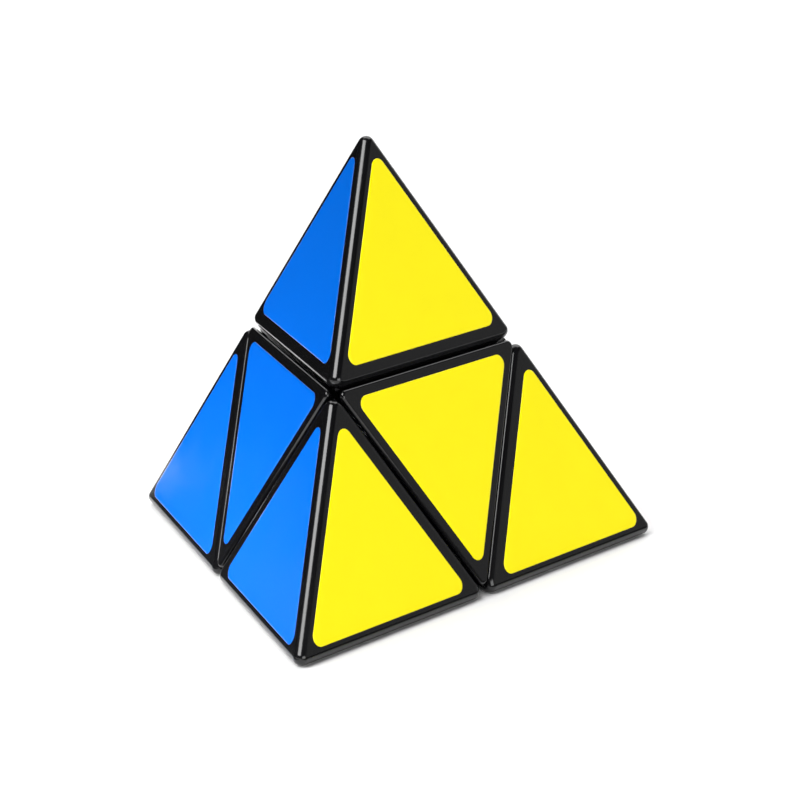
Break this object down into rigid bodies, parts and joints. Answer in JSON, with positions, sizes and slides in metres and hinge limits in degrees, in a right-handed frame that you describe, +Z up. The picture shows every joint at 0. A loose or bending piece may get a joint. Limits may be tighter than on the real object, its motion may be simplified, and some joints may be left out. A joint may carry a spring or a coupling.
{
  "type": "pyramid twisty puzzle",
  "caption": "Triangular pyramid twisty puzzle of black plastic pieces with coloured stickers, cut in halves that turn about its middle.",
  "frame": {"origin": "middle of the green face that the puzzle stands on", "axes": "+Z up out of the green face to the top corner, the front corner towards -Y, +X to the right"},
  "size_m": [0.0862, 0.0749, 0.071],
  "materials": {
    "black_abs": "moulded ABS, polished tool, gloss black",
    "nylon": "moulded nylon, satin",
    "yellow_vinyl": "gloss vinyl sticker",
    "blue_vinyl": "gloss vinyl sticker",
    "red_vinyl": "gloss vinyl sticker",
    "green_vinyl": "gloss vinyl sticker",
    "zinc_steel": "zinc plated steel",
    "spring_steel": "drawn spring wire"
  },
  "bodies": {
    "core": {"spider": "nylon", "screws": "zinc_steel", "springs": "spring_steel", "washers": "zinc_steel", "upper_right_pivot": "nylon", "upper_left_pivot": "nylon", "lower_left_pivot": "nylon", "lower_right_pivot": "nylon", "middle_slider_1": "nylon", "middle_slider_2": "nylon", "middle_slider_3": "nylon", "middle_slider_4": "nylon"},
    "front_half": {"top_corner_cap": "black_abs", "top_corner_base": "black_abs", "top_blue_sticker": "blue_vinyl", "top_yellow_sticker": "yellow_vinyl", "top_red_sticker": "red_vinyl", "front_corner_cap": "black_abs", "front_corner_base": "black_abs", "front_green_sticker": "green_vinyl", "front_blue_sticker": "blue_vinyl", "front_yellow_sticker": "yellow_vinyl", "yellow_centre_cap": "black_abs", "yellow_centre_base": "black_abs", "yellow_centre_sticker": "yellow_vinyl", "blue_centre_cap": "black_abs", "blue_centre_base": "black_abs", "blue_centre_sticker": "blue_vinyl", "front_slider_1": "nylon", "front_slider_2": "nylon", "front_slider_3": "nylon", "front_slider_4": "nylon", "upper_front_pivot": "nylon"},
    "back_half": {"right_corner_cap": "black_abs", "right_corner_base": "black_abs", "right_green_sticker": "green_vinyl", "right_yellow_sticker": "yellow_vinyl", "right_red_sticker": "red_vinyl", "left_corner_cap": "black_abs", "left_corner_base": "black_abs", "left_green_sticker": "green_vinyl", "left_blue_sticker": "blue_vinyl", "left_red_sticker": "red_vinyl", "green_centre_cap": "black_abs", "green_centre_base": "black_abs", "green_centre_sticker": "green_vinyl", "red_centre_cap": "black_abs", "red_centre_base": "black_abs", "red_centre_sticker": "red_vinyl", "back_slider_1": "nylon", "back_slider_2": "nylon", "back_slider_3": "nylon", "back_slider_4": "nylon", "lower_back_pivot": "nylon"}
  },
  "joints": [
    {"name": "front_turn", "type": "hinge", "parent": "core", "child": "front_half", "pos_m": [0, 0, 0.01852], "axis": [0, -0.8165, 0.5774], "continuous": true},
    {"name": "back_turn", "type": "hinge", "parent": "core", "child": "back_half", "pos_m": [0, 0, 0.01852], "axis": [0, -0.8165, 0.5774], "continuous": true}
  ]
}
